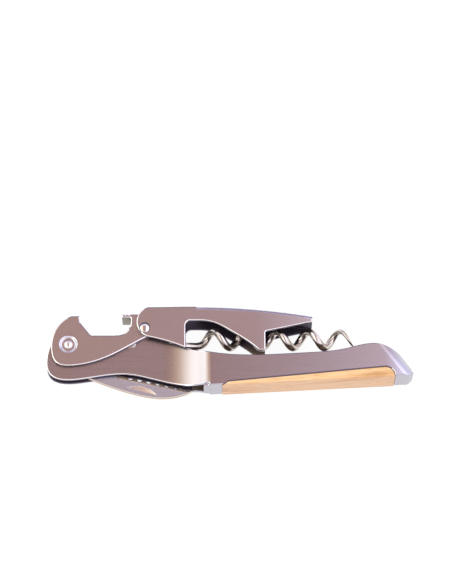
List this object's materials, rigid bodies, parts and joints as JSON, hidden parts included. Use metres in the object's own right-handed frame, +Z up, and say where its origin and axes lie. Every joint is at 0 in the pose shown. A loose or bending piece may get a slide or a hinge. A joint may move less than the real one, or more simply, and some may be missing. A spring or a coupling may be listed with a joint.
{
  "type": "corkscrew",
  "caption": "Folding waiter's corkscrew: pressed steel body with a wood inlay, hinged worm, two-step lever with cap hook, and folding serrated foil knife.",
  "frame": {"origin": "middle of the footprint, on the surface that the closed corkscrew lies on", "axes": "+X from the nose to the handle's end, +Y from the handle's back towards the lever, +Z up across the width"},
  "size_m": [0.1204, 0.0299, 0.012],
  "materials": {
    "body_steel": "satin, grain along the handle",
    "lever_steel": "satin, polished edges",
    "blade_steel": "fine satin",
    "worm_steel": "polished",
    "rivet_steel": "polished",
    "wood": "oiled, fine grain"
  },
  "bodies": {
    "frame": {"body_frame": "body_steel", "wood_inlay": "wood", "lever_rivet": "rivet_steel", "worm_pin": "rivet_steel", "knife_stop_pin": "rivet_steel"},
    "front_link": {"front_link": "lever_steel", "link_rivet": "rivet_steel"},
    "rear_link": {"rear_link": "lever_steel"},
    "worm": {"worm": "worm_steel"},
    "knife": {"knife_blade": "blade_steel"}
  },
  "joints": [
    {"name": "lever_swing", "type": "hinge", "parent": "frame", "child": "front_link", "pos_m": [-0.053, 0.0025, 0.006], "axis": [0, 0, 1], "range_deg": [0, 120]},
    {"name": "lever_fold", "type": "hinge", "parent": "front_link", "child": "rear_link", "pos_m": [-0.0279, 0.0077, 0.006], "axis": [0, 0, 1], "range_deg": [0, 75]},
    {"name": "worm_swing", "type": "hinge", "parent": "frame", "child": "worm", "pos_m": [-0.0324, 0.0031, 0.006], "axis": [0, 0, 1], "range_deg": [0, 90]},
    {"name": "knife_swing", "type": "hinge", "parent": "frame", "child": "knife", "pos_m": [-0.053, 0.0025, 0.006], "axis": [0, 0, -1], "range_deg": [0, 155]}
  ],
  "couplings": [
    {"joint": "worm_swing", "follows": "lever_swing", "ratio": 0.75}
  ]
}
